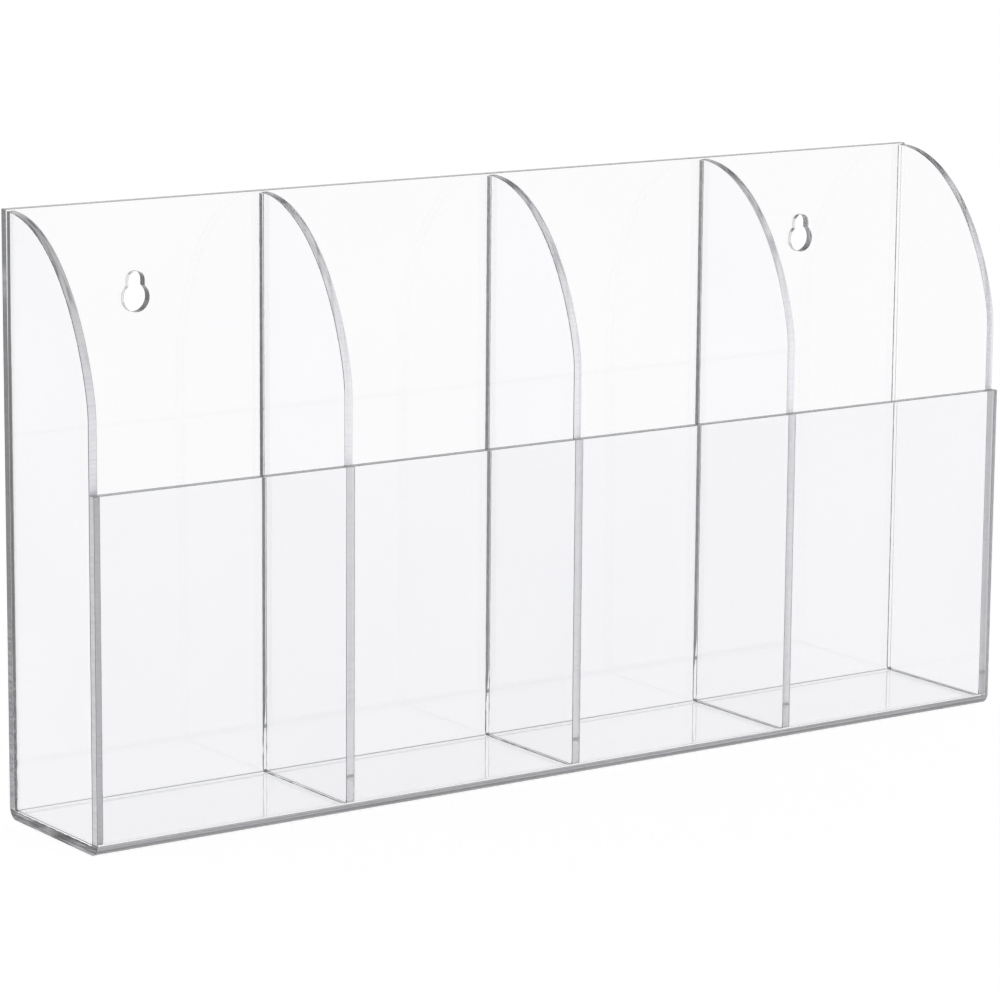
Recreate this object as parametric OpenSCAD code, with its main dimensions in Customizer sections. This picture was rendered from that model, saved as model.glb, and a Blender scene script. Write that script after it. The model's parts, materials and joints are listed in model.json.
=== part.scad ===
// Clear acrylic file sorter with four pockets, hung by two keyholes or stood on its floor.
// One heat-bent sheet is the back, floor and front. Two end panels and three dividers,
// all cut to one outline, stand inside it and are solvent-welded to it edge to face.
// X runs along the width, the front faces -Y, Z is up, and the floor's underside is at Z = 0.

/* [Overall size] */
// Width over the two ends
body_w = 368; // [260:1:560]
// Depth from the front face to the wall
body_d = 57; // [40:1:90]
// Height of the back
body_h = 198; // [170:1:320]
// Height of the front
front_h = 115; // [50:1:130]

/* [Acrylic sheet] */
// Thickness of the sheet, the panels and the dividers
sheet_t = 3; // [2:0.5:5]
// Inside radius of both bends, which are a sheet's thickness larger outside
bend_inside_r = 1; // [0.5:0.5:3]

/* [End panels and dividers] */
// How much wider the first pocket is than the other three, which are alike
first_pocket_extra = 3.2; // [0:0.2:10]
// Height at which a panel's straight front edge turns into its curve
curve_start_h = 141; // [132:1:160]
// How far a panel's top corner lies below the top of the back
panel_drop = 0.5; // [0:0.5:5]
// How far the curve's ellipse reaches past a panel's straight front edge
curve_overreach = 2; // [0.5:0.5:8]
// How much larger the radius of a panel's bottom corners is than the bends' inside radius
corner_relief = 0.2; // [0.1:0.1:3]

/* [Keyholes] */
// Diameter of the round entry that the screw head passes through
entry_d = 9.5; // [8:0.5:14]
// Width of the neck that the screw's shank slides up into
neck_w = 6; // [4:0.5:7]
// Distance from the entry's centre up to the neck's seat
neck_rise = 5.6; // [5:0.1:12]
// Distance from the top of the back down to the seat
seat_drop = 26; // [12:1:50]

/* [Hidden] */
bend_outside_r = bend_inside_r + sheet_t;
pocket_count = 4;
// Distance from one upright's left face to the next one's, leaving out the first pocket's extra width
pocket_pitch = (body_w - sheet_t - first_pocket_extra) / pocket_count;
// Each keyhole's distance from the middle is that of the last pocket's centre if all pockets were alike
keyhole_x = (body_w - sheet_t) * (pocket_count - 1) / (2 * pocket_count);
// The uprights stand between the inner faces of the front and the back
front_face_y = -body_d / 2;
back_face_y = body_d / 2;
upright_front_y = front_face_y + sheet_t;
upright_back_y = back_face_y - sheet_t;
upright_depth = upright_back_y - upright_front_y;
upright_top_h = body_h - panel_drop;
// Semi-axes of the ellipse whose highest point is the panel's top back corner
curve_a = upright_depth + curve_overreach;
curve_end_cos = upright_depth / curve_a;
curve_b = (upright_top_h - curve_start_h) / (1 - sqrt(1 - pow(curve_end_cos, 2)));
curve_end_angle = acos(curve_end_cos);
curve_steps = 60;
arc_fn = 96;
// How far a cutting shape runs past the faces that it cuts
overlap = 1;
clear_acrylic = [0.93, 0.95, 0.98, 0.35];

// Draws a side-view outline of (Y, Z) points as a plate of the given thickness, from x to x + thick
module plate(x, thick) {
    translate([x, 0, 0]) rotate([90, 0, 90]) linear_extrude(height = thick) children();
}

// A side view whose two bottom corners are rounded
module tray_outline(y_front, y_back, z_bottom, z_top, corner_r) {
    polygon([
        [y_front + corner_r, z_bottom],
        [y_back - corner_r, z_bottom],
        [y_back, z_bottom + corner_r],
        [y_back, z_top],
        [y_front, z_top],
        [y_front, z_bottom + corner_r]
    ]);
    for (y = [y_front + corner_r, y_back - corner_r])
        translate([y, z_bottom + corner_r]) circle(r = corner_r, $fn = arc_fn);
}

// Back, floor and front in one bent thickness, seen from the side
module bent_outline() {
    difference() {
        tray_outline(front_face_y, back_face_y, 0, body_h, bend_outside_r);
        tray_outline(upright_front_y, upright_back_y, sheet_t, body_h + overlap, bend_inside_r);
        translate([front_face_y - overlap, front_h]) square([sheet_t + 2 * overlap, body_h]);
    }
}

// A round entry with a narrower neck above it, cut through the back
module keyhole(x) {
    seat_h = body_h - seat_drop;
    cut_l = sheet_t + 2 * overlap;
    translate([x, back_face_y + overlap, seat_h - neck_rise]) rotate([90, 0, 0])
        cylinder(d = entry_d, h = cut_l, $fn = arc_fn);
    translate([x, back_face_y + overlap, seat_h]) rotate([90, 0, 0])
        cylinder(d = neck_w, h = cut_l, $fn = arc_fn);
    translate([x - neck_w / 2, back_face_y + overlap - cut_l, seat_h - neck_rise])
        cube([neck_w, cut_l, neck_rise]);
}

module bent_sheet() {
    color(clear_acrylic) difference() {
        plate(-body_w / 2, body_w) bent_outline();
        for (side = [-1, 1]) keyhole(side * keyhole_x);
    }
}

// Points along the quarter of an ellipse from the top back corner down to the front edge
function curve_points() = [
    for (i = [0:curve_steps])
        let (turn = 90 + (90 - curve_end_angle) * i / curve_steps)
            [upright_back_y + curve_a * cos(turn),
             upright_top_h - curve_b + curve_b * sin(turn)]
];

// The outline that both end panels and all the dividers share
module upright_outline() {
    intersection() {
        tray_outline(upright_front_y, upright_back_y, sheet_t, body_h, bend_inside_r + corner_relief);
        polygon(concat(curve_points(), [[upright_front_y, 0], [upright_back_y, 0]]));
    }
}

// Uprights are counted from the left end, which is number 0
module upright(number) {
    first_extra = number > 0 ? first_pocket_extra : 0;
    color(clear_acrylic)
        plate(-body_w / 2 + first_extra + number * pocket_pitch, sheet_t) upright_outline();
}

module left_end_panel() {
    upright(0);
}

module divider(number) {
    upright(number);
}

module right_end_panel() {
    upright(pocket_count);
}

bent_sheet();
left_end_panel();
divider(1);  // divider_1
divider(2);  // divider_2
divider(3);  // divider_3
right_end_panel();
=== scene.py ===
"""Looks of the clear acrylic file sorter.

Its six pieces, the beads of cement in its joints, a light table, a plain studio and a camera.
"""
import json
import math

import bmesh
import bpy
from mathutils import Matrix, Vector, noise


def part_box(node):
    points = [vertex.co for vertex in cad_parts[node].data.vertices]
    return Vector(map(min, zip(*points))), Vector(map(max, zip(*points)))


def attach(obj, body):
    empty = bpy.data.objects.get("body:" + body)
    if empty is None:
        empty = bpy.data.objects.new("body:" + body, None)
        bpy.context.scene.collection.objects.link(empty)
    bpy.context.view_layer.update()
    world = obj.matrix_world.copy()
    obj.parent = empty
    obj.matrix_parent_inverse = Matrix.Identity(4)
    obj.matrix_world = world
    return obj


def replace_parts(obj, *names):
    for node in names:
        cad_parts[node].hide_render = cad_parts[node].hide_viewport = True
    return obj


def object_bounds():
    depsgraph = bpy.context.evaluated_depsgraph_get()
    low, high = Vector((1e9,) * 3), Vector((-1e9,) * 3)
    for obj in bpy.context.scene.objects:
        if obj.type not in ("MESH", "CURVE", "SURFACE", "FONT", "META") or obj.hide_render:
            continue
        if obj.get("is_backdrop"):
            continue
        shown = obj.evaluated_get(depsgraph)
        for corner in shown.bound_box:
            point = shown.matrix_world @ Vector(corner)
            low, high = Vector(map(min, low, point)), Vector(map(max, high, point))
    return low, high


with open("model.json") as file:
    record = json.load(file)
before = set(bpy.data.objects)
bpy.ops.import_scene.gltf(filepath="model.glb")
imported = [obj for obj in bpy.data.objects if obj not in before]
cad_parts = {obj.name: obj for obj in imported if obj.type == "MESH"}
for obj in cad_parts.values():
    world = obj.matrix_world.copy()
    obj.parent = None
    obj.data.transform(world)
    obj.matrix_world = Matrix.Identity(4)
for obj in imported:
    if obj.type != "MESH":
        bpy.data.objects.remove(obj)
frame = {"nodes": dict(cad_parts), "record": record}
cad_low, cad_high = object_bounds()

MM = 0.001

# ---- Sizes that the frame holds, in metres ----
UPRIGHTS = ("left_end_panel", "divider_1", "divider_2", "divider_3", "right_end_panel")
sheet_low, sheet_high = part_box("bent_sheet")
upright_low, upright_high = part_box(UPRIGHTS[0])
thick = upright_high.x - upright_low.x
mounts = {mount["name"]: mount for mount in frame["record"]["mounts"]}


def top_in_front_of(node, y):
    """Height of the highest CAD point of a node that lies in front of y."""
    return max(v.co.z for v in frame["nodes"][node].data.vertices if v.co.y < y)


front_top = top_in_front_of("bent_sheet", sheet_low.y + thick / 2)
curve_start = top_in_front_of(UPRIGHTS[0], upright_low.y + 0.01 * MM)

# ---- Sizes that repeat part.scad's ----
BEND_INSIDE = 1 * MM
BEND_OUTSIDE = BEND_INSIDE + thick
CORNER_RELIEF = 0.2 * MM
CURVE_OVERREACH = 2 * MM

# ---- Finish ----
# How much of a corner is taken off a sheet's edges and a keyhole's rims
EDGE_BREAK = 0.18 * MM
KEYHOLE_BREAK = 0.06 * MM
# The thin gap that shows each glued joint
JOINT_GAP = 0.04 * MM
# Number of straight steps round a bend, the curve and a keyhole, and along an upright's straight edges
BEND_STEPS = 20
CURVE_STEPS = 150
KEYHOLE_STEPS = 72
REAR_STEPS, LEAN_STEPS, FRONT_STEPS, BOTTOM_STEPS = 40, 20, 20, 6
# How far from each bend the flat faces get an extra corner, which keeps their shading flat
SUPPORT = 0.3 * MM
# Faces that meet at a smaller angle than this are shaded as one
SMOOTH_BELOW = math.radians(12)
# Material slots of every acrylic piece, in the order of the materials below
(FACE, EDGE, DULL_EDGE, SHEET_TOP, FRONT_END, BACK_END, KEYHOLE,
 JOINT, LINE, BEND, BEND_LOW, CREASE, FLOOR_END) = range(13)
# Uprights whose rear joints were filled twice near the floor, and how far up that shows
LUMPY_JOINTS = ("left_end_panel", "divider_1", "divider_2")
LUMPY_BELOW = 38 * MM
# Uprights whose cement set dark
DARK_BEADS = ("left_end_panel", "divider_1")
# How wide the beads of cement are up the back, along the floor on the left and right side, and up the front
REAR_BEAD = 0.22 * MM
FLOOR_BEADS = {-1: 0.2 * MM, 1: 0.06 * MM}
FRONT_BEAD = 0.1 * MM
# How far below the uprights' tops and the front's edge the beads end
BEAD_DROP = 0.3 * MM
# Points along a bead up the back, along the floor and up the front, about a millimetre apart, and degrees
# from one point to the next round a corner
BEAD_REAR_STEPS, BEAD_FLOOR_STEPS, BEAD_FRONT_STEPS, BEAD_TURN = 190, 50, 110, 10
# A bead's clearance from the sheets, how far the middle of its hollow face lies from the joint's corner as a
# share of its width, and the length of its lumps
BEAD_CLEAR = 0.01 * MM
BEAD_HOLLOW = 0.35
BEAD_GRAIN = 2.2 * MM
# How uneven every bead is, as a share of its width
BEAD_UNEVEN = 0.3
# A bead's corners stay sharp above this angle
BEAD_SHARP = math.radians(50)
# How far cement ran forward over a divider's left side from its rear joint, and the heights
# between which that begins
SMEARS = {"divider_1": 1.35 * MM, "divider_2": 1.42 * MM, "divider_3": 1.35 * MM}
SMEAR_FROM = (14 * MM, 26 * MM)
# Parts of the bends painted darker as shade: the front bend's outside, darkest low down, and the crease inside the
# back bend, as turns in degrees about each bend's centre
FRONT_BEND_SHADE = (184, 208)
FRONT_BEND_SHADE_LOW = (208, 238)
BACK_CREASE = (283, 312)
# How far the left end panel's rear edge leans off the back at its top, and where it meets the back
LEAN_GAP = 0.6 * MM
LEAN_FROM = 142 * MM
# The curve's end is polished round over this length to each side of its corner with the front edge
KINK_EASE = 4 * MM
KINK_STEPS = 12
# Heights between which a finish changes: the curves' streaks and their painted shade begin, and the strong marks on
# the back's ends, the bubbles in the dry joint and the beads' painted shade at the floor come to an end
SHADED_STREAKS_BEGIN = (150 * MM, 182 * MM)
STRONG_MARKS_END = (55 * MM, 75 * MM)
BUBBLES_END = (42 * MM, 60 * MM)
FLOOR_SHADE_ENDS = (4 * MM, 7 * MM)
# How often light is followed through the sheets before it is given up
BOUNCES = 32


def arc(centre, radii, start, end, steps):
    """Points round part of an ellipse, angles in degrees."""
    turns = [math.radians(start + (end - start) * i / steps) for i in range(steps + 1)]
    return [(centre[0] + radii[0] * math.cos(t), centre[1] + radii[1] * math.sin(t)) for t in turns]


def straight(start, end, steps):
    """Points between two places, without the places themselves."""
    return [tuple(a + (b - a) * i / steps for a, b in zip(start, end)) for i in range(1, steps)]


def offset(outline, amount):
    """A closed counter-clockwise outline moved inwards by amount, or a clockwise one outwards."""
    moved = []
    for i, here in enumerate(outline):
        before, after = Vector(outline[i - 1]), Vector(outline[(i + 1) % len(outline)])
        first, second = (Vector(here) - before).normalized(), (after - Vector(here)).normalized()
        inward = Vector((-first.y - second.y, first.x + second.x)).normalized()
        # A sharp corner moves no further than about three times the amount
        miter = max(0.3, inward.dot(Vector((-first.y, first.x))))
        moved.append(tuple(Vector(here) + inward * amount / miter))
    return moved


def loft(name, rings, side_material, cap_material):
    """A closed solid through rings of points, with a cap at each end."""
    mesh = bpy.data.meshes.new(name)
    bm = bmesh.new()
    loops = [[bm.verts.new(point) for point in ring] for ring in rings]
    count = len(rings[0])
    for first, second in zip(loops, loops[1:]):
        for i in range(count):
            j = (i + 1) % count
            bm.faces.new((first[i], first[j], second[j], second[i])).material_index = side_material
    bm.faces.new(reversed(loops[0])).material_index = cap_material
    bm.faces.new(loops[-1]).material_index = cap_material
    bmesh.ops.recalc_face_normals(bm, faces=bm.faces)
    bm.to_mesh(mesh)
    bm.free()
    piece = bpy.data.objects.new(name, mesh)
    bpy.context.scene.collection.objects.link(piece)
    return piece


def eased_edge_steps(length):
    """(place along the length, inset) of each ring of a plate whose two ends have eased edges."""
    near = [(0, 1), (0.3, 0.3), (1, 0)]
    steps = [(place * EDGE_BREAK, inset * EDGE_BREAK) for place, inset in near]
    return steps + [(length - place, inset) for place, inset in reversed(steps)]


def plate(name, outline, x, length, side_material, cap_material):
    """A plate of constant (Y, Z) outline along X, with eased edges round both ends."""
    rings = []
    for along, inset in eased_edge_steps(length):
        rings.append([(x + along, y, z) for y, z in offset(outline, inset)])
    return loft(name, rings, side_material, cap_material)


def paint(piece, materials):
    """Gives a piece its material slots, in order."""
    for material in materials:
        piece.data.materials.append(material)


def smooth(piece):
    piece.data.shade_smooth()
    piece.data.set_sharp_from_angle(angle=SMOOTH_BELOW)


# ---- The bent sheet ----
def bent_outline():
    """Back, floor and front in one thickness, counter-clockwise seen from +X."""
    y0, y1, top = sheet_low.y, sheet_high.y, sheet_high.z
    yi0, yi1, zi = y0 + thick, y1 - thick, thick
    outer, inner, support = BEND_OUTSIDE, BEND_INSIDE, SUPPORT
    points = [(y0, front_top - EDGE_BREAK), (y0, outer + support)]
    points += bend((y0 + outer, outer), outer, 180, 270)
    points += [(y0 + outer + support, 0), (y1 - outer - support, 0)]
    points += bend((y1 - outer, outer), outer, 270, 360)
    points += [(y1, outer + support)]
    points += eased_top(yi1, y1, top)
    points += [(yi1, zi + inner + support)]
    points += bend((yi1 - inner, zi + inner), inner, 360, 270)
    points += [(yi1 - inner - support, zi), (yi0 + inner + support, zi)]
    points += bend((yi0 + inner, zi + inner), inner, 270, 180)
    points += [(yi0, zi + inner + support)]
    points += eased_top(y0, yi0, front_top)[:-1]
    return points


def bend(centre, radius, start, end):
    return arc(centre, (radius, radius), start, end, BEND_STEPS)


def eased_top(y_front, y_back, z):
    """The top edge of the sheet from its back corner to its front corner, each a little rounded."""
    e = EDGE_BREAK
    return arc((y_back - e, z - e), (e, e), 0, 90, 2) + arc((y_front + e, z - e), (e, e), 90, 180, 2)


def keyhole_outline(entry, seat, entry_r, seat_r):
    """(X, Z) outline of a round entry with a narrower neck above it, clockwise."""
    lean = math.degrees(math.asin(seat_r / entry_r))
    round_entry = arc((entry.x, entry.z), (entry_r, entry_r), 90 - lean, lean - 270, KEYHOLE_STEPS)
    round_seat = arc((entry.x, seat.z), (seat_r, seat_r), 180, 0, KEYHOLE_STEPS // 2)
    return round_entry + round_seat


def cut_keyhole(sheet, entry_name):
    """Cuts one keyhole through the back, with its corners broken by a cutter that flares at both faces."""
    entry = Vector(mounts[entry_name]["pos_m"])
    seat = Vector(mounts["keyhole_seats"]["pos_m"])
    outline = keyhole_outline(entry, seat, mounts[entry_name]["dims"]["r_mm"] * MM,
                              mounts["keyhole_seats"]["dims"]["hole_r_mm"] * MM)
    y0, y1 = sheet_high.y - thick, sheet_high.y
    e, far = KEYHOLE_BREAK, 1 * MM
    past, flare = 0.2 * e, 1.2 * e
    steps = [(y0 - far, flare), (y0 - past, flare), (y0 + e, 0), (y1 - e, 0), (y1 + past, flare), (y1 + far, flare)]
    rings = [[(x, y, z) for x, z in offset(outline, growth)] for y, growth in steps]
    cutter = loft("keyhole_cutter", rings, KEYHOLE, KEYHOLE)
    paint(cutter, sheet.data.materials)
    cut = sheet.modifiers.new("keyhole", "BOOLEAN")
    cut.operation, cut.solver, cut.object = "DIFFERENCE", "EXACT", cutter
    cut_mesh = bpy.data.meshes.new_from_object(sheet.evaluated_get(bpy.context.evaluated_depsgraph_get()))
    sheet.modifiers.clear()
    sheet.data = cut_mesh
    bpy.data.objects.remove(cutter)


def split_ends(sheet):
    """Each end of the sheet becomes triangles, so that its front and floor parts can have their own colours, with
    painted shade on the floor part.
    """
    bm = bmesh.new()
    bm.from_mesh(sheet.data)
    ends = [face for face in bm.faces if abs(face.normal.x) > 0.99 and face.material_index == BACK_END]
    for face in bmesh.ops.triangulate(bm, faces=ends)["faces"]:
        centre = face.calc_center_median()
        if centre.z < BEND_OUTSIDE:
            face.material_index = FLOOR_END
        elif centre.y < sheet_low.y + thick:
            face.material_index = FRONT_END
    bm.to_mesh(sheet.data)
    bm.free()


def turn_about(centre, point):
    """Angle of a point seen from a bend's centre, in degrees from +Y towards +Z."""
    return math.degrees(math.atan2(point.z - centre[1], point.y - centre[0])) % 360


def mark_bends(sheet):
    """Painted shade on the front bend's outside, darkest low down, and along the crease that the former left inside
    the back bend.
    """
    front = (sheet_low.y + BEND_OUTSIDE, BEND_OUTSIDE)
    back = (sheet_high.y - BEND_OUTSIDE, BEND_OUTSIDE)
    for face in sheet.data.polygons:
        if abs(face.normal.x) > 0.5 or face.center.z > BEND_OUTSIDE:
            continue
        if face.center.y < front[0] and face.normal.y < 0:
            turn = turn_about(front, face.center)
            if FRONT_BEND_SHADE[0] < turn < FRONT_BEND_SHADE[1]:
                face.material_index = BEND
            elif FRONT_BEND_SHADE_LOW[0] < turn < FRONT_BEND_SHADE_LOW[1]:
                face.material_index = BEND_LOW
        elif face.center.y > back[0] and face.normal.y < 0:
            if BACK_CREASE[0] < turn_about(back, face.center) < BACK_CREASE[1]:
                face.material_index = CREASE


def mark_top_edges(sheet):
    """The top edges of the back and the front are sawn, and painted darker as shade."""
    for face in sheet.data.polygons:
        if face.normal.z > 0.3 and face.center.z > front_top - 2 * EDGE_BREAK:
            face.material_index = SHEET_TOP


def bent_sheet(materials):
    sheet = plate("clear_bent_sheet", bent_outline(), sheet_low.x, sheet_high.x - sheet_low.x, FACE, BACK_END)
    paint(sheet, materials)
    for side in ("left", "right"):
        cut_keyhole(sheet, f"{side}_keyhole_entry")
    split_ends(sheet)
    mark_bends(sheet)
    mark_top_edges(sheet)
    smooth(sheet)
    return sheet


# ---- The end panels and dividers ----
def upright_outline(lean):
    """The uprights' outline, a joint's gap inside the CAD's, counter-clockwise seen from +X.

    With lean, the rear edge slopes away from the back above LEAN_FROM, by that much at its top.
    """
    y0, y1 = upright_low.y + JOINT_GAP, upright_high.y - JOINT_GAP
    z0, z1 = upright_low.z + JOINT_GAP, upright_high.z
    semi_y = upright_high.y - upright_low.y + CURVE_OVERREACH
    end_cos = (upright_high.y - upright_low.y) / semi_y
    end_turn = math.degrees(math.acos(end_cos))
    semi_z = (z1 - curve_start) / (1 - math.sin(math.radians(end_turn)))
    corner_r = BEND_INSIDE + CORNER_RELIEF
    curve = arc((y1, z1 - semi_z), (semi_y - 2 * JOINT_GAP, semi_z), 90, 180 - end_turn, CURVE_STEPS)
    curve = ease_kink([point for point in curve if point[0] < y1 - lean] if lean else curve)
    if lean:
        curve.insert(0, (y1 - lean, z1))
    front_bottom = bend((y0 + corner_r, z0 + corner_r), corner_r, 180, 270)
    back_bottom = bend((y1 - corner_r, z0 + corner_r), corner_r, 270, 360)
    rear_start = (y1, LEAN_FROM) if lean else back_bottom[-1]
    rear = straight(rear_start, curve[0], REAR_STEPS)
    if lean:
        rear = straight(back_bottom[-1], rear_start, LEAN_STEPS) + [rear_start] + rear
    front = straight(curve[-1], front_bottom[0], FRONT_STEPS)
    bottom = straight(front_bottom[-1], back_bottom[0], BOTTOM_STEPS)
    return curve + front + front_bottom + bottom + back_bottom + rear


def ease_kink(curve):
    """The curve's last stretch, bent into the straight front edge on a parabola."""
    corner = Vector(curve[-1])
    kept = [point for point in curve if (Vector(point) - corner).length > KINK_EASE]
    start, end = Vector(kept[-1]), corner - Vector((0, KINK_EASE))
    eased = []
    for i in range(1, KINK_STEPS + 1):
        t = i / KINK_STEPS
        eased.append(tuple(start * (1 - t) ** 2 + corner * 2 * t * (1 - t) + end * t ** 2))
    return kept + eased


def upright(node, materials):
    """An end panel or a divider.

    Its curve and its straight front are sawn, its corners show as thin lines of painted shade, and the left one's
    rear joint is dry and painted near black as shade. The right rear corner of a smeared divider stays clear.
    """
    low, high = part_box(node)
    leftmost = node == UPRIGHTS[0]
    lean = LEAN_GAP if leftmost else 0
    piece = plate(f"clear_{node}", upright_outline(lean), low.x, high.x - low.x, FACE, FACE)
    paint(piece, materials)
    for face in piece.data.polygons:
        rear = face.normal.y > 0.3
        if abs(face.normal.x) > 0.9 or face.normal.x > 0.2 and rear and node in SMEARS:
            continue
        # The eased corners take the dark cement colour, as painted shade
        if abs(face.normal.x) > 0.2:
            face.material_index = LINE
        elif face.normal.y < -0.2 or face.normal.z > 0.4:
            face.material_index = DULL_EDGE if leftmost else EDGE
        elif rear and leftmost:
            face.material_index = JOINT
    smooth(piece)
    return piece


# ---- The beads of cement ----
def bead_path(floor_width):
    """The glued edges from the back's top to the front's: each (Y, Z), the way into the pocket and the width."""
    y0, y1, z0 = upright_low.y, upright_high.y, upright_low.z
    r = BEND_INSIDE + CORNER_RELIEF
    rear = (y1, upright_high.z - BEAD_DROP)
    path = [(place, (-1, 0), REAR_BEAD) for place in [rear] + straight(rear, (y1, z0 + r), BEAD_REAR_STEPS)]
    for turn in range(0, 91, BEAD_TURN):
        c, s = math.cos(math.radians(turn)), math.sin(math.radians(turn))
        path.append(((y1 - r + r * c, z0 + r - r * s), (-c, s), floor_width))
    floor = straight((y1 - r, z0), (y0 + r, z0), BEAD_FLOOR_STEPS)
    path += [(place, (0, 1), floor_width) for place in floor]
    for turn in range(0, 91, BEAD_TURN):
        c, s = math.cos(math.radians(turn)), math.sin(math.radians(turn))
        path.append(((y0 + r - r * s, z0 + r - r * c), (s, c), floor_width))
    end = (y0, front_top - BEAD_DROP)
    path += [(place, (1, 0), FRONT_BEAD) for place in straight((y0, z0 + r), end, BEAD_FRONT_STEPS) + [end]]
    return path


def bead(name, x, side, seed, lumpy, smear, material):
    """A fillet of cement along an upright's left face (side is -1) or right face (side is 1), which lies at x.

    It is lumpy near the floor if lumpy, and its rear stretch spreads forward by smear above SMEAR_FROM.
    """
    rings = []
    for (y, z), (in_y, in_z), width in bead_path(FLOOR_BEADS[side]):
        lumps = BEAD_UNEVEN
        if lumpy and y > 0:
            lumps += max(0, 1 - z / LUMPY_BELOW)
        size = width * (1 + lumps * noise.noise(Vector((seed, y / BEAD_GRAIN, z / BEAD_GRAIN))))
        corner = Vector((x + side * BEAD_CLEAR, y + in_y * BEAD_CLEAR, z + in_z * BEAD_CLEAR))
        spread = size
        # Only the stretch up the back is smeared
        if in_y == -1:
            rise = (z - SMEAR_FROM[0]) / (SMEAR_FROM[1] - SMEAR_FROM[0])
            spread += smear * min(1, max(0, rise))
        out, up = Vector((side * size, 0, 0)), Vector((0, in_y * spread, in_z * spread))
        rings.append([corner, corner + out, corner + (out + up) * BEAD_HOLLOW, corner + up])
    piece = loft(name, rings, 0, 0)
    paint(piece, (material,))
    piece.data.shade_smooth()
    piece.data.set_sharp_from_angle(angle=BEAD_SHARP)
    return piece


# ---- Materials ----
def principled(name, colour, roughness, transmission):
    """An acrylic material, whose plain colour stands in wherever its node pattern isn't shown."""
    material = bpy.data.materials.new(name)
    material.use_nodes = True
    shader = material.node_tree.nodes["Principled BSDF"]
    shader.inputs["Base Color"].default_value = (*colour, 1)
    shader.inputs["Roughness"].default_value = roughness
    shader.inputs["IOR"].default_value = 1.49
    shader.inputs["Transmission Weight"].default_value = transmission
    return material


def noise_at(material, per_mm, detail):
    """Noise fixed to the part, with its number of waves per mm along each axis."""
    nodes, links = material.node_tree.nodes, material.node_tree.links
    coords = nodes.new("ShaderNodeTexCoord")
    mapping = nodes.new("ShaderNodeMapping")
    mapping.inputs["Scale"].default_value = [waves / MM for waves in per_mm]
    pattern = nodes.new("ShaderNodeTexNoise")
    pattern.inputs["Scale"].default_value = 1
    pattern.inputs["Detail"].default_value = detail
    links.new(coords.outputs["Object"], mapping.inputs["Vector"])
    links.new(mapping.outputs["Vector"], pattern.inputs["Vector"])
    return pattern.outputs["Fac"]


def shades(material, factor, stops):
    """A colour that follows factor through (position, colour) stops."""
    ramp = material.node_tree.nodes.new("ShaderNodeValToRGB")
    for element, (place, colour) in zip(ramp.color_ramp.elements, (stops[0], stops[-1])):
        element.position, element.color = place, (*colour, 1)
    for place, colour in stops[1:-1]:
        ramp.color_ramp.elements.new(place).color = (*colour, 1)
    material.node_tree.links.new(factor, ramp.inputs["Fac"])
    return ramp.outputs["Color"]


def raise_surface(material, factor, height):
    bump = material.node_tree.nodes.new("ShaderNodeBump")
    bump.inputs["Distance"].default_value = height
    material.node_tree.links.new(factor, bump.inputs["Height"])
    shader = material.node_tree.nodes["Principled BSDF"]
    material.node_tree.links.new(bump.outputs["Normal"], shader.inputs["Normal"])


def set_colour(material, colour):
    shader = material.node_tree.nodes["Principled BSDF"]
    material.node_tree.links.new(colour, shader.inputs["Base Color"])


def height_factor(material, low, high):
    """1 at and below the height low, 0 at and above high."""
    nodes, links = material.node_tree.nodes, material.node_tree.links
    coords = nodes.new("ShaderNodeTexCoord")
    split = nodes.new("ShaderNodeSeparateXYZ")
    fade = nodes.new("ShaderNodeMapRange")
    for socket, value in zip(("From Min", "From Max", "To Min", "To Max"), (low, high, 1, 0)):
        fade.inputs[socket].default_value = value
    links.new(coords.outputs["Object"], split.inputs[0])
    links.new(split.outputs["Z"], fade.inputs["Value"])
    return fade.outputs["Result"]


def mix(material, factor, first, second):
    """The first colour where factor is 0 and the second where it is 1."""
    node = material.node_tree.nodes.new("ShaderNodeMix")
    node.data_type = "RGBA"
    colours = [socket for socket in node.inputs if socket.type == "RGBA"]
    for source, socket in ((factor, node.inputs[0]), (first, colours[0]), (second, colours[1])):
        material.node_tree.links.new(source, socket)
    return [socket for socket in node.outputs if socket.type == "RGBA"][0]


def polished_face(name, shade):
    """Cast sheet: a faint cool tint that drifts over centimetres, and a surface that is wavy by microns."""
    material = principled(name, (shade, shade, shade + 0.009), 0.0, 1.0)
    drift = noise_at(material, (0.02, 0.02, 0.02), 1)
    dark, light = shade - 0.004, shade + 0.004
    stops = [(0.3, (dark, dark, dark + 0.01)), (0.7, (light, light, light + 0.008))]
    set_colour(material, shades(material, drift, stops))
    raise_surface(material, drift, 0.002 * MM)
    return material


def sawn_edge(name, transmission, streak_and_shade_colours):
    """Fine marks across the thickness that flame polishing left, and dark streaks along the curve's upper part,
    where the edge's streaks are darkened with painted shade.
    """
    material = principled(name, (0.95, 0.945, 0.99), 0.12, transmission)
    marks = noise_at(material, (0.06, 1.1, 1.1), 3)
    streaks = noise_at(material, (1.1, 0.1, 0.1), 3)
    mark_stops = [(0.3, (0.86, 0.855, 0.92)), (0.5, (0.95, 0.945, 0.99)), (0.7, (1, 0.995, 1))]
    plain = shades(material, marks, mark_stops)
    # Near the top of the curve the streaks are painted darker, with painted shade
    places = (0.36, 0.48, 0.6)
    streak_and_shade_stops = [(place, (shade, shade, min(1, 1.04 * shade))) for place, shade in zip(places, streak_and_shade_colours)]
    streaked_in_shade = shades(material, streaks, streak_and_shade_stops)
    set_colour(material, mix(material, height_factor(material, *SHADED_STREAKS_BEGIN), streaked_in_shade, plain))
    raise_surface(material, marks, 0.02 * MM)
    return material


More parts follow.
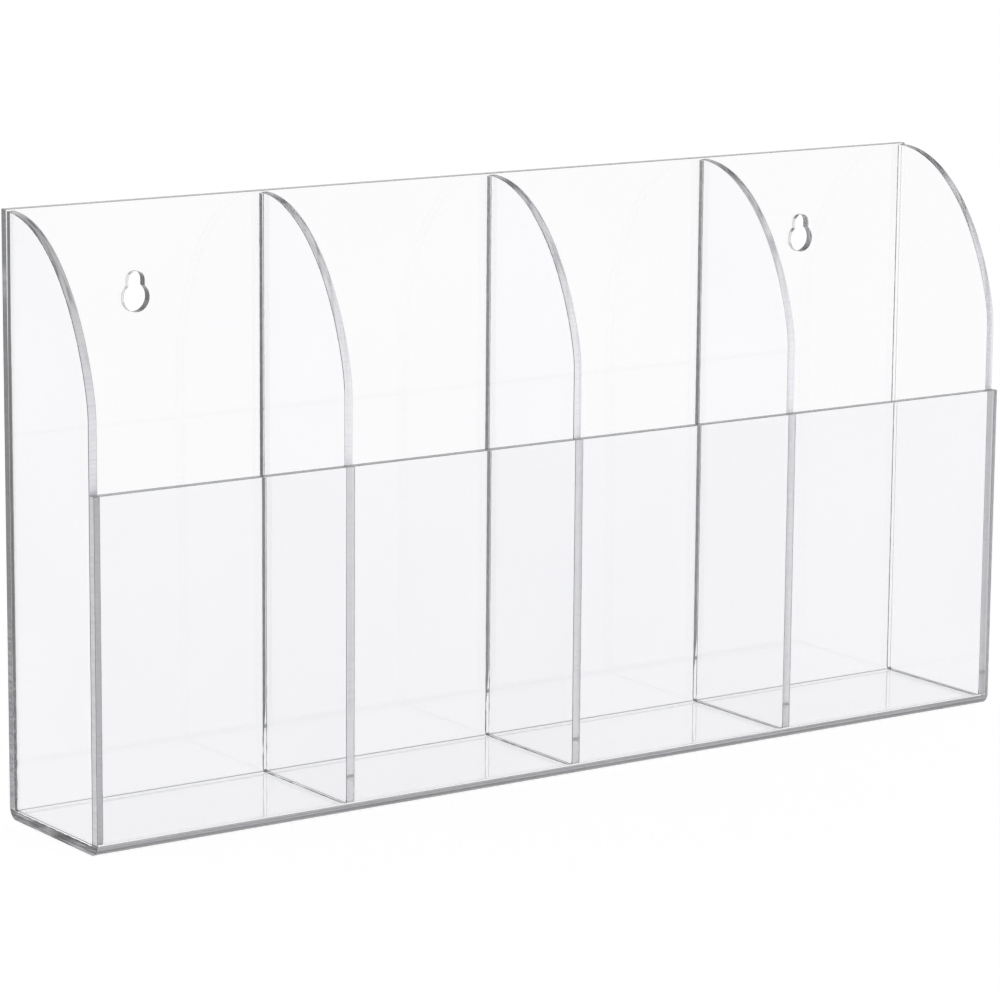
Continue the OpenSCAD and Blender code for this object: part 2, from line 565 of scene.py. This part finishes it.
def sheet_edge(name, shade, transmission):
    """A sawn edge of the sheet, with fine marks across it."""
    material = principled(name, (shade, shade, 1.03 * shade), 0.12, transmission)
    marks = noise_at(material, (0.9, 0.06, 0.9), 2)
    dark, light = 0.92 * shade, 1.08 * shade
    stops = [(0.3, (dark, dark, 1.03 * dark)), (0.7, (light, light, 1.03 * light))]
    set_colour(material, shades(material, marks, stops))
    raise_surface(material, marks, 0.01 * MM)
    return material


def back_end():
    """Saw marks across the back's thickness on a dark grey that is painted shade, lighter and stronger towards the
    floor.
    """
    material = principled("back_end", (0.32, 0.32, 0.335), 0.12, 0.4)
    marks = noise_at(material, (1, 0.1, 0.9), 3)
    upper = shades(material, marks, [(0.3, (0.28, 0.28, 0.29)), (0.7, (0.36, 0.36, 0.375))])
    lower = shades(material, marks, [(0.35, (0.34, 0.34, 0.37)), (0.6, (0.58, 0.58, 0.61))])
    set_colour(material, mix(material, height_factor(material, *STRONG_MARKS_END), upper, lower))
    raise_surface(material, marks, 0.02 * MM)
    return material


def keyhole_wall():
    """Cut through and flame polished, with marks across the thickness, on a grey that is painted shade."""
    material = principled("keyhole_wall", (0.55, 0.55, 0.57), 0.05, 0.7)
    marks = noise_at(material, (1, 0.06, 1), 2)
    set_colour(material, shades(material, marks, [(0.3, (0.45, 0.45, 0.47)), (0.7, (0.65, 0.65, 0.67))]))
    return material


def dry_joint():
    """Where the cement never reached, painted near black as shade, with bubbles near the floor."""
    material = principled("dry_joint", (0.08, 0.08, 0.083), 0.3, 0.08)
    wide = noise_at(material, (0.3, 0.3, 0.12), 2)
    bubbles = noise_at(material, (0.9, 0.9, 0.7), 2)
    plain = shades(material, wide, [(0.3, (0.06, 0.06, 0.062)), (0.7, (0.1, 0.1, 0.103))])
    bubble_stops = [(0.4, (0.05, 0.05, 0.07)), (0.5, (0.16, 0.16, 0.19)), (0.62, (0.5, 0.5, 0.58))]
    spotted = shades(material, bubbles, bubble_stops)
    set_colour(material, mix(material, height_factor(material, *BUBBLES_END), plain, spotted))
    return material


def cement(name, shade):
    """Set cement, uneven, and near black close to the floor, where shade is painted in the corner with the floor.
    """
    material = principled(name, (shade, shade, 1.02 * shade), 0.3, 0.3)
    uneven = noise_at(material, (0.4, 0.4, 0.4), 2)
    dark, light = 0.86 * shade, 1.14 * shade
    above = shades(material, uneven, [(0.3, (dark, dark, 1.02 * dark)), (0.7, (light, light, 1.02 * light))])
    floor_shade = shades(material, uneven, [(0.3, (0.06, 0.06, 0.063)), (0.7, (0.14, 0.14, 0.144))])
    set_colour(material, mix(material, height_factor(material, *FLOOR_SHADE_ENDS), above, floor_shade))
    return material


def floor_end():
    """Long saw marks across the floor's end, on a dark grey that is painted shade."""
    material = principled("floor_end", (0.25, 0.25, 0.26), 0.12, 0.4)
    marks = noise_at(material, (0.5, 0.07, 0.9), 2)
    stops = [(0.36, (0.1, 0.1, 0.105)), (0.48, (0.24, 0.24, 0.25)), (0.6, (0.6, 0.6, 0.62))]
    set_colour(material, shades(material, marks, stops))
    raise_surface(material, marks, 0.02 * MM)
    return material


def bend_shade(name, dark, light):
    """Sheet stretched round a bend, painted grey as shade, with fine lines along it."""
    material = principled(name, light, 0.2, 0.35)
    lines = noise_at(material, (0.02, 0.6, 0.6), 2)
    set_colour(material, shades(material, lines, [(0.3, dark), (0.7, light)]))
    return material


# ---- Studio ----
def light_table():
    """A wide pale floor that glows softly, so that a clear part casts almost no shadow."""
    half = 12.0
    below = 0.4 * MM
    mesh = bpy.data.meshes.new("light_table")
    corners = [(-half, -half), (half, -half), (half, half), (-half, half)]
    mesh.from_pydata([(x, y, cad_low.z - below) for x, y in corners], [], [(0, 1, 2, 3)])
    floor = bpy.data.objects.new("light_table", mesh)
    bpy.context.scene.collection.objects.link(floor)
    material = principled("light_table", (0.35, 0.35, 0.35), 0.9, 0.0)
    shader = material.node_tree.nodes["Principled BSDF"]
    shader.inputs["Specular IOR Level"].default_value = 0
    shader.inputs["Emission Color"].default_value = (1, 1, 1, 1)
    shader.inputs["Emission Strength"].default_value = 0.89
    mesh.materials.append(material)
    floor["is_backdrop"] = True


def studio_world():
    """A bright horizon that darkens upwards."""
    world = bpy.data.worlds.new("studio")
    bpy.context.scene.world = world
    world.use_nodes = True
    nodes, links = world.node_tree.nodes, world.node_tree.links
    coords = nodes.new("ShaderNodeTexCoord")
    split = nodes.new("ShaderNodeSeparateXYZ")
    ramp = nodes.new("ShaderNodeValToRGB")
    links.new(coords.outputs["Generated"], split.inputs[0])
    links.new(split.outputs["Z"], ramp.inputs["Fac"])
    links.new(ramp.outputs["Color"], nodes["Background"].inputs["Color"])
    ramp.color_ramp.elements[0].position = 0.42
    ramp.color_ramp.elements[0].color = (1, 1, 1, 1)
    ramp.color_ramp.elements[1].position = 0.85
    ramp.color_ramp.elements[1].color = (0.08, 0.08, 0.085, 1)
    ramp.color_ramp.elements.new(0.6).color = (0.25, 0.25, 0.255, 1)


def photo_camera():
    """The camera stands off the centre of the CAD box's base, to the front left and above."""
    lens = 153.74
    back_off = Vector((-820.9, -1153.3, 368.6)) * MM
    yaw, pitch, roll = (math.radians(angle) for angle in (35.057, 11.143, 0.474))
    data = bpy.data.cameras.new("camera")
    data.lens, data.sensor_width = lens, 36
    data.clip_start, data.clip_end = 0.05, 50
    camera = bpy.data.objects.new("camera", data)
    bpy.context.scene.collection.objects.link(camera)
    base_centre = Vector(((cad_low.x + cad_high.x) / 2, (cad_low.y + cad_high.y) / 2, cad_low.z))
    forward = Vector((math.sin(yaw) * math.cos(pitch), math.cos(yaw) * math.cos(pitch), -math.sin(pitch)))
    aim = forward.to_track_quat("-Z", "Y").to_matrix().to_4x4()
    camera.matrix_world = Matrix.Translation(base_centre + back_off) @ aim @ Matrix.Rotation(roll, 4, "Z")
    bpy.context.scene.camera = camera


def render_look():
    """Plain colours, and enough bounces for light to travel down a sheet and out at its edge."""
    scene = bpy.context.scene
    scene.view_settings.view_transform = "Standard"
    scene.cycles.max_bounces = BOUNCES
    scene.cycles.glossy_bounces = BOUNCES
    scene.cycles.transmission_bounces = BOUNCES


def add(piece):
    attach(piece, "root")
    return piece


render_look()
photo_camera()
materials = (polished_face("polished_face", 0.952),
             # The sawn edges' streak colours, darker towards the top of the curve, are partly painted shade
             sawn_edge("sawn_edge", 0.55, (0.4, 0.72, 0.9)),
             sawn_edge("sawn_edge_dull", 0.1, (0.5, 0.88, 1)),
             # The sheet's top edges are painted a darker grey than its front end, as shade
             sheet_edge("sheet_top", 0.5, 0.4),
             sheet_edge("front_end", 0.9, 0.28),
             back_end(),
             keyhole_wall(),
             dry_joint(),
             # The dark cement, also painted on the uprights' eased corners as shade
             cement("cement_dark_and_corner_shade", 0.42),
             # Greys painted on the bends as shade
             bend_shade("bend_shade", (0.38, 0.38, 0.4), (0.46, 0.46, 0.48)),
             bend_shade("bend_shade_low", (0.18, 0.18, 0.19), (0.26, 0.26, 0.27)),
             bend_shade("bend_crease_shade", (0.7, 0.7, 0.71), (0.78, 0.78, 0.79)),
             floor_end())
# The dividers' faces are painted a lighter tint than the sheet's, as painted light on the same acrylic
divider_materials = (polished_face("polished_divider_painted_lighter", 0.98),) + materials[1:]
thin_cement = cement("cement_thin", 0.62)
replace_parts(add(bent_sheet(materials)), "bent_sheet")
for number, node in enumerate(UPRIGHTS):
    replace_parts(add(upright(node, divider_materials if node in SMEARS else materials)), node)
    low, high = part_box(node)
    lumpy = node in LUMPY_JOINTS
    filler = materials[LINE] if node in DARK_BEADS else thin_cement
    if number > 0:
        add(bead(f"cement_bead_{node}_left", low.x, -1, 2 * number, lumpy, SMEARS.get(node, 0), filler))
    if number < len(UPRIGHTS) - 1:
        add(bead(f"cement_bead_{node}_right", high.x, 1, 2 * number + 1, lumpy, 0, filler))
light_table()
studio_world()
low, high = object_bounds()
